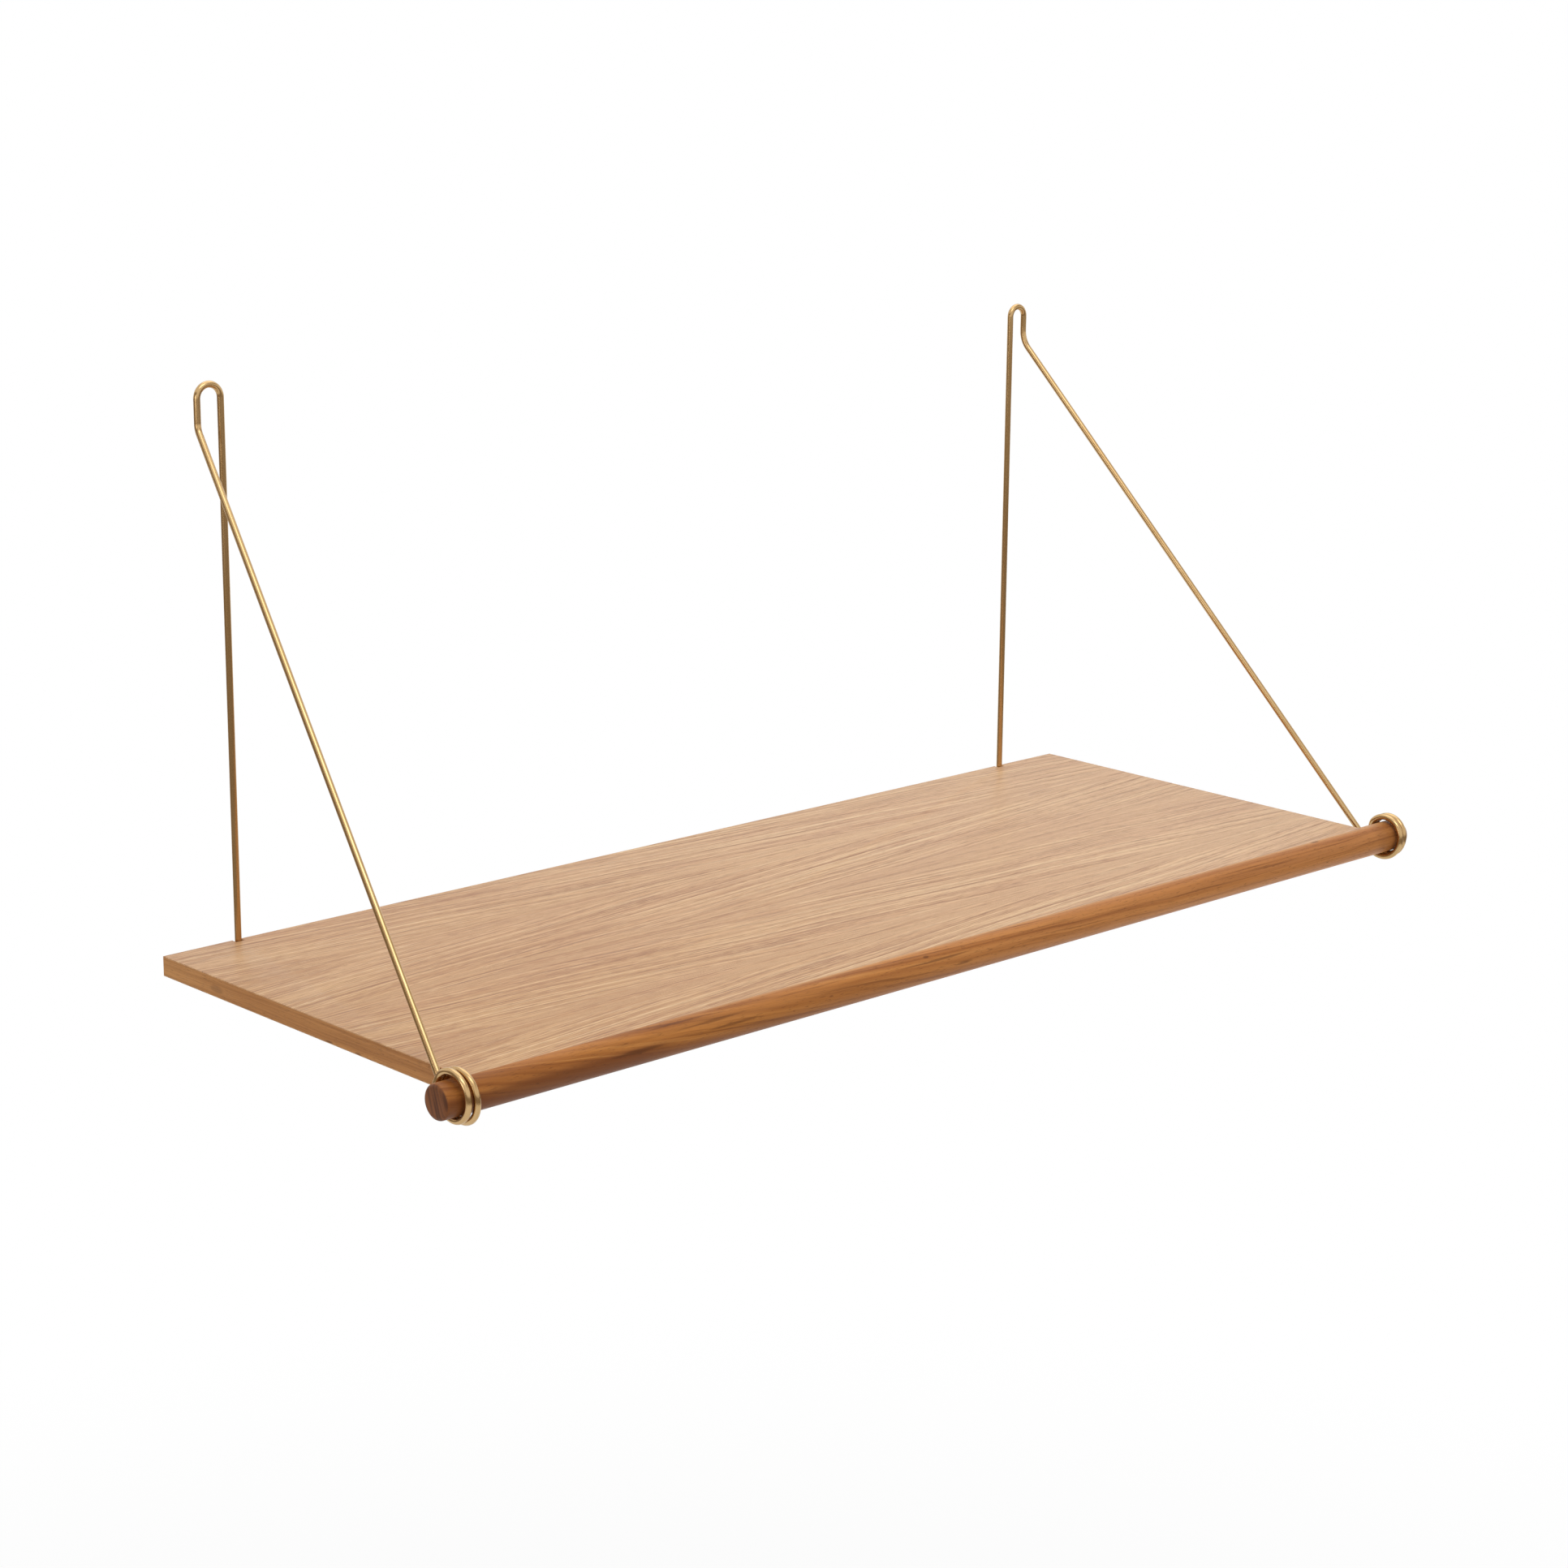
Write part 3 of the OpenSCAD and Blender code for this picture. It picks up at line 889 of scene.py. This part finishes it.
# %% Rail colours
# Each pair goes from the left to the right, and the right tone is lighter: painted light.
rail_light = paint(196, 127, 61), paint(212, 143, 80)  # at the left and at the right
rail_deep = paint(160, 96, 43), paint(178, 111, 57)
rail_streak_dark, rail_streak_pale = paint(120, 67, 29), paint(222, 158, 90)
# Painted shade and light: the first two colours darken low down, the third lightens from below.
rail_under_shade, rail_low_shade, rail_bounce_light = paint(118, 66, 36), paint(128, 78, 44), paint(238, 162, 92)
rail_fibre, rail_pore = paint(122, 74, 38), paint(88, 50, 26)
# The first colour here is a painted sheen for the top of the rail.
rail_crest_sheen, rail_warm, rail_mark = paint(222, 168, 112), paint(220, 150, 84), paint(92, 50, 24)
print("rail marks", [round(part, 2) for part in rail_mark[:3]])

# %% Rail figure
flame_rise = 240.0  # degrees that a flame turns along the rail
warm_patch = (-175.0, 48.0, 90.0, 26.0)
flame_marks = ((-248.0, 50.0, 70.0, 9.0, 0.15), (-43.0, 40.0, 3.0, 7.0, 0.6),
               (-15.0, 92.0, 9.0, 4.0, 0.45), (324.0, 6.0, 5.0, 8.0, 0.7),
               (-265.0, 82.0, 22.0, 9.0, 0.55), (-230.0, 27.0, 30.0, 5.0, 0.45),
               (-211.0, 53.0, 30.0, 5.0, 0.45), (-196.0, 80.0, 22.0, 6.0, 0.5),
               (-134.0, 37.0, 34.0, 4.0, 0.3), (-38.0, 58.0, 36.0, 5.0, 0.55),
               (60.0, 46.0, 30.0, 4.0, 0.3))
print(len(flame_marks), "marks on the rail")

# %% [markdown]
# On the turned ends the same wood is cut across, so it soaks up more oil, is much darker, and
# shows its rings as upright bands. One layer draws it, with a share of 1 only on the two flat
# ends, inside their soft rims. Another, a painted shade, deepens the short stretches past the
# board a little, in and around the coils.

# %% Turned ends
# The third colour is painted shade for the stretches past the board.
end_light, end_deep, end_stretch_shade = paint(133, 82, 49), paint(92, 56, 37), paint(120, 66, 28)


def cut_across(colour, x, out_y, out_z):
    """Lays the ends' colours over the rail's, and a painted shade on the stretches past the board.
    """
    lean = out_y + out_z * 0.35
    rings = grain(lean / 2.6, out_z / 40, x / 90, 2.0, 0.6)
    from_axis = x.maths("SQRT", out_y * out_y + out_z * out_z)
    past_board = x.maths("ABSOLUTE", x) - board_high.x / MM
    flat = step(from_axis, rail_r / MM - 0.1, rail_r / MM - 0.7) * step(past_board, 1.0, 3.0)
    return layered(colour,
                   # Painted shade on the stretches past the board, in and around the coils.
                   (step(past_board, 3.0, 13.0) * 0.25, end_stretch_shade),
                   (flat, blend(step(rings, -0.16, 0.16), end_light, end_deep)))


print("the rail's ends stand out", round((board_low.x - rail_low.x) / MM, 1), "and",
      round((rail_high.x - board_high.x) / MM, 1), "mm")


# %% Rail finish
def oak_solid(name):
    """Turned oak for the rail."""
    finish, shader, first = new_finish(name, roughness=0.42, specular_ior_level=0.16)
    x, y, z = here(first)
    out_y = (y - rail_y / MM) * -1
    out_z = z - rail_z / MM
    turned = first.maths("ARCTAN2", out_y, out_z) * (180 / pi)
    leftward = first.maths("MAXIMUM", 0.5 - x / ((board_high.x - board_low.x) / MM), 0.0)
    # Painted light: 0 at the left and 1 at the right, where the tones are lighter.
    painted_light_rightward = step(x, -260.0, 120.0)

    flame = turned - (1 - leftward * leftward * leftward) * flame_rise
    flame = flame + grain(x / 120, out_y / 14, out_z / 14) * 34
    rings = grain(flame / 34, x / 600, out_z / 60, 3.0, 0.6)
    streak = grain(flame / 9, x / 160, out_y / 30, 3.0, 0.6)
    fibre = grain(x / 30, out_y / 0.5, out_z / 0.5, 3.0, 0.6)
    pores = grain(x / 5, out_y / 0.35, out_z / 0.35, 1.0)
    # Painted shade low down on the front at the left end.
    under = step(turned, 62.0, 86.0) * step(x, -225.0, -265.0)
    # Painted shade low down on the front, full at the left and fading out to the right.
    painted_low_shade = step(turned, 84.0, 125.0) * step(x, shelf_half, -200.0)
    # Painted light from below, low on the front towards the right.
    belly_bounce_light = step(turned, 62.0, 92.0) * painted_light_rightward
    # Painted sheen along the top, but for the left end.
    crest_sheen = step(turned, 17.0, 3.0) * step(x, -330.0, -120.0)
    light, deep = blend(painted_light_rightward, *rail_light), blend(painted_light_rightward, *rail_deep)
    colour = layered(
        blend(step(rings, -0.2, 0.2), light, deep),
        (step(streak, 0.02, 0.2) * 0.65, rail_streak_dark),
        (step(streak, -0.06, -0.24) * 0.4, rail_streak_pale),
        (under * 0.7, rail_under_shade),
        (painted_low_shade * 0.5, rail_low_shade),
        (belly_bounce_light * 0.24, rail_bounce_light),
        (step(fibre, 0.0, 0.25) * 0.3, rail_fibre),
        (step(pores, 0.14, 0.22) * 0.5, rail_pore),
        (crest_sheen * 0.5, rail_crest_sheen),
        (spot(x, turned, *warm_patch) * 0.3, rail_warm))
    colour = marked(colour, x, turned + streak * 16, flame_marks, rail_mark)
    colour = cut_across(colour, x, out_y, out_z)
    feed(shader, base_color=colour, roughness=step(pores, 0.05, 0.2) * 0.12 + 0.4,
         normal=relief_of(fibre * 0.6 - step(pores, 0.1, 0.22), edge_relief))
    return finish


wear(oak_solid("oak_rail"), rail)

# %% [markdown]
# ## Drawn brass
# The wire is brass that was drawn through a die and left satin. It isn't a mirror: fine lines
# run along it, and the metal is a little deeper in tone here and there, where hands and bending
# tools touched it. The lines follow the wire round every bend, so they read the way that was
# stored on the mesh and not the coordinates of the room.

# %% Brass finish
brass_light, brass_deep = paint(205, 171, 122), paint(190, 155, 106)
brass_relief = 0.0006 * MM


def drawn_brass(name):
    """Satin wire, its lines along the way."""
    finish, shader, first = new_finish(name, metallic=1.0, roughness=0.24)
    way = first.node("ShaderNodeAttribute", {"attribute_name": "way"}, {}, "Vector")
    along, cosine, sine = apart(way)
    along = along / MM
    lines = grain(along / 60, cosine * 9, sine * 9, 3.0, 0.7)
    tone = grain(along / 35, cosine * 0.8, sine * 0.8, 3.0, 0.6)
    feed(shader, base_color=blend(step(tone, -0.25, 0.3), brass_light, brass_deep),
         roughness=lines * 0.06 + 0.23 + tone * 0.06,
         normal=relief_of(lines, brass_relief))
    return finish


wear(drawn_brass("drawn_brass"), *wires.values())

# %% [markdown]
# ## Steel, core and pins
# The screws and washers are plain zinc-plated steel, a little cloudy. The core between the
# veneers is particle board, seen only inside the notches, and the pins inside the joint are
# beech. They are hidden when the shelf is whole, but each piece still gets its own finish.

# %% Steel
def plated_steel(name):
    """Zinc-plated steel with soft clouds."""
    finish, shader, first = new_finish(name, metallic=1.0, roughness=0.35)
    x, y, z = here(first)
    cloud = grain(x / 2.5, y / 2.5, z / 2.5, 4.0, 0.6)
    colour = blend(step(cloud, -0.2, 0.2), paint(196, 198, 202), paint(168, 170, 172))
    feed(shader, base_color=colour, roughness=cloud * 0.2 + 0.36)
    return finish


wear(plated_steel("plated_steel"), left_washer, right_washer, left_screw, right_screw)


# %% Core and pins
def particle_board(name):
    """Pressed chips with fines between them."""
    finish, shader, first = new_finish(name, roughness=0.85)
    x, y, z = here(first)
    chips = grain(x / 2.2, y / 2.2, z / 0.8, 4.0, 0.6)
    fines = grain(x / 0.6, y / 0.6, z / 0.4)
    colour = blend(step(chips, -0.12, 0.12), paint(206, 176, 132), paint(150, 116, 78))
    feed(shader, base_color=colour, normal=relief_of(chips + fines * 0.5, 0.2 * MM))
    return finish


def beech_wood(name):
    """Plain beech with short flecks, its grain along the pins."""
    finish, shader, first = new_finish(name, roughness=0.6)
    x, y, z = here(first)
    fibre = grain(x / 0.6, y / 14, z / 0.6, 3.0, 0.6)
    fleck = grain(x / 0.3, y / 1.6, z / 1.2, 1.0)
    colour = layered(blend(step(fibre, -0.2, 0.2), paint(226, 186, 146), paint(202, 156, 114)),
                     (step(fleck, 0.16, 0.24) * 0.5, paint(164, 114, 78)))
    feed(shader, base_color=colour, normal=relief_of(fibre, 0.05 * MM))
    return finish


wear(particle_board("particle_board"), nodes["core_panel"])
wear(beech_wood("beech_pins"), nodes["rail_pins"])

# %% [markdown]
# ## The studio
# The shelf hangs at chest height over a pale floor, in a white room. The room itself gives
# much of the light. A shelf this far up throws only a faint, wide shadow. The white that the
# camera and the metal see is the colour of the room and not more light: Light Path tells the
# shaders which rays are looking, and the others get the plain level.

# %% Room
room_light = 0.6


def looking(first):
    """1 for rays from the camera, from metal and through glass; 0 for those that carry light."""
    seen, mirrored, through = [
        first.node("ShaderNodeLightPath", {}, {}, ray)
        for ray in ("Is Camera Ray", "Is Glossy Ray", "Is Transmission Ray")]
    return first.maths("MAXIMUM", first.maths("MAXIMUM", seen, mirrored), through)


world = bpy.data.worlds.new("white_room")
bpy.context.scene.world = world
world.use_nodes = True
background = world.node_tree.nodes["Background"]
background.inputs["Color"].default_value = (1, 1, 1, 1)
feed(background, strength=looking(Dab(world.node_tree)) * (1 - room_light) + room_light)
print("room light", room_light)

# %% Floor
floor_drop = 1.35
floor_w = 24

floor_finish, floor_output, first = bare_finish("pale_floor")
matte = first.node("ShaderNodeBsdfDiffuse", {}, {"Color": paint(240, 240, 238)})
white = first.node("ShaderNodeEmission", {}, {"Color": (1, 1, 1, 1), "Strength": 1.0})
x, y, z = here(first)
away = first.maths("SQRT", x * x + y * y)
share = looking(first) * (step(away, 300.0, 2500.0) * 0.25 + 0.75)
feed(floor_output, surface=first.node("ShaderNodeMixShader", {}, {0: share, 1: matte, 2: white}))

start_clean()
bpy.ops.mesh.primitive_plane_add(size=floor_w, location=(0, 0, board_low.z - floor_drop))
floor = bpy.context.object
floor.name = "floor"
floor.data.materials.append(floor_finish)
print("floor", round(floor_drop, 2), "m below the board")

# %% [markdown]
# ## Lamps
# Three soft lamps shape the shelf. The large one overhead lights the board, the one up in
# front draws the bright line along the wires, and the small one low at the left reaches the
# rail's end and the band beside it. They are area lamps, because a point lamp would give hard
# shadows and small glints. Each says where it stands, what it looks at, its width and height
# in metres and its power in watts.

# %% Lamps
lamps = {"overhead_lamp": ((0.7, 0.55, 2.2), (0.1, -0.14, 0), 2.4, 2.0, 14.5),
         "front_lamp": ((-0.5, -1.2, 2.2), (0, -0.2, 0.1), 1.5, 0.9, 10.5),
         "side_lamp": ((-2.2, -0.4, 0.45), (-0.2, -0.15, 0.05), 0.8, 0.7, 4.5)}

for name, (place, target, width, height, power) in lamps.items():
    lamp = bpy.data.lights.new(name, "AREA")
    lamp.shape = "RECTANGLE"
    lamp.size, lamp.size_y = width, height
    lamp.energy = power
    stand = bpy.data.objects.new(name, lamp)
    bpy.context.scene.collection.objects.link(stand)
    stand.location = place
    stand.rotation_euler = (Vector(target) - Vector(place)).to_track_quat("-Z", "Y").to_euler()
    stand.visible_camera = False
    print(name, "radiance about", round(power / (width * height * pi), 2))

# %% [markdown]
# ## Dark cloths
# In an all-white room brass turns white, as it has nothing else to mirror. So grey cloths
# hang around the shelf: a round one, from the floor to just above the board and open behind
# the shelf, and two flat ones, at the left and up at the right. Only shiny surfaces see them.
# The camera doesn't, and they take no light away.

# %% Cloth
cloth_finish, cloth_output, first = bare_finish("dark_cloth")
feed(cloth_output,
     surface=first.node("ShaderNodeEmission", {}, {"Color": paint(148, 136, 124), "Strength": 1.0}))


def hang(cloth):
    """Marks a cloth as studio gear that only shiny surfaces see."""
    cloth.visible_camera = False
    cloth.visible_diffuse = False
    cloth.visible_transmission = False
    cloth.visible_shadow = False
    cloth.data.materials.append(cloth_finish)
    print(cloth.name, len(cloth.data.polygons), "faces")


# %% Round cloth
ring_sides = 64
ring_r = 3.2
ring_rise = 0.1
ring_open = 0.6  # where it is open, in shares of its radius from the middle
behind = Vector((0.68, 0.73, 0))

start_clean()
ring_middle = (0, 0, board_low.z + (ring_rise - floor_drop) / 2)
bpy.ops.mesh.primitive_cylinder_add(vertices=ring_sides, radius=ring_r, end_fill_type="NOTHING",
                                    depth=floor_drop + ring_rise, location=ring_middle)
ring = settle("dark_ring")
pick(ring, "polygons", lambda centre, part: centre.dot(behind) > ring_open * ring_r)
bpy.ops.mesh.delete(type="FACE")
start_clean()
hang(ring)

# %% Flat cloths
cloths = {"left_cloth": ((-3.0, 0.6, 0.4), (0, pi / 2, 0), (3.2, 5.0)),
          "right_cloth": ((2.2, -1.8, 2.2), (-0.9, 0.0, 0.9), (2.4, 2.4))}

for name, (place, facing, size) in cloths.items():
    bpy.ops.mesh.primitive_plane_add(size=1, location=place, rotation=facing)
    bpy.context.object.scale = (*size, 1)
    hang(settle(name))
    start_clean()

# %% [markdown]
# ## The camera
# The camera stands to the shelf's left, a little above it, and looks down at it with a long
# lens, so that the lines of the board stay calm. It sits square to its sensor: nothing is
# shifted, and everything is sharp.

# %% Camera
camera_place = Vector((-1.3603, -1.5685, 0.5695))
camera_turn = radians(43.187)
camera_tilt = radians(14.157)
camera_roll = radians(0.503)

lens = bpy.data.cameras.new("camera")
lens.sensor_width = 36
lens.lens = 76.12
camera = bpy.data.objects.new("camera", lens)
bpy.context.scene.collection.objects.link(camera)
bpy.context.scene.camera = camera
turn = Matrix.Rotation(-camera_turn, 4, "Z") @ Matrix.Rotation(pi / 2 - camera_tilt, 4, "X")
camera.matrix_world = Matrix.Translation(camera_place) @ turn @ Matrix.Rotation(camera_roll, 4, "Z")
bpy.context.scene.view_settings.view_transform = "Standard"
